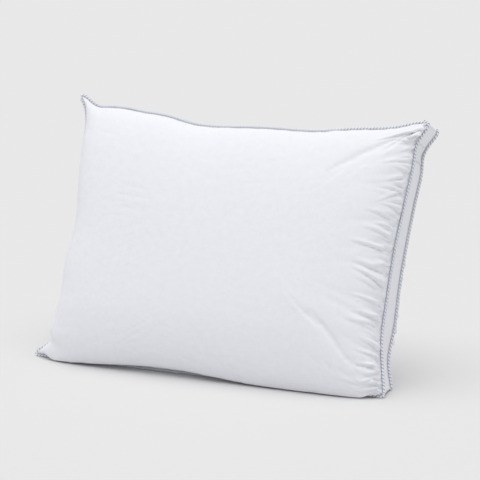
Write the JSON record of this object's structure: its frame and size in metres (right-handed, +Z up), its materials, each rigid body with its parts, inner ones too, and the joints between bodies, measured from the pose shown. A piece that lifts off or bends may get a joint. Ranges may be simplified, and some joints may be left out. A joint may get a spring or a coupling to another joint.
{
  "type": "bed pillow",
  "caption": "Boxed-edge bed pillow in white cotton ticking, with a twisted lip cord in both seams, a blank woven label and a loose fill, standing on its long edge and leaning back.",
  "frame": {"origin": "middle of the lower band's foot, on the floor, half-way between the two lower seams", "axes": "+X along the pillow's long side, +Y towards its back, +Z up; the front panel faces -Y and leans back 22.5 degrees"},
  "size_m": [0.6952, 0.2869, 0.4589],
  "materials": {
    "ticking": "white down-proof cotton, fine close weave, soft matt sheen",
    "cord": "twisted cotton cord, white strands with blue-grey ones between",
    "seam_thread": "blue-grey sewing thread",
    "white_thread": "white sewing thread",
    "label": "blank white woven satin ribbon",
    "filling": "loose white fibre"
  },
  "bodies": {
    "root": {"filling": "filling", "front_panel": "ticking", "back_panel": "ticking", "band_top": "ticking", "band_left": "ticking", "band_right": "ticking", "band_bottom": "ticking", "front_cord": "cord", "back_cord": "cord", "front_seam_thread": "seam_thread", "back_seam_thread": "seam_thread", "thread_top_left": "white_thread", "thread_top_right": "white_thread", "thread_bottom_left": "white_thread", "thread_bottom_right": "white_thread", "closing_thread": "white_thread", "label": "label", "label_thread": "white_thread"}
  },
  "joints": []
}
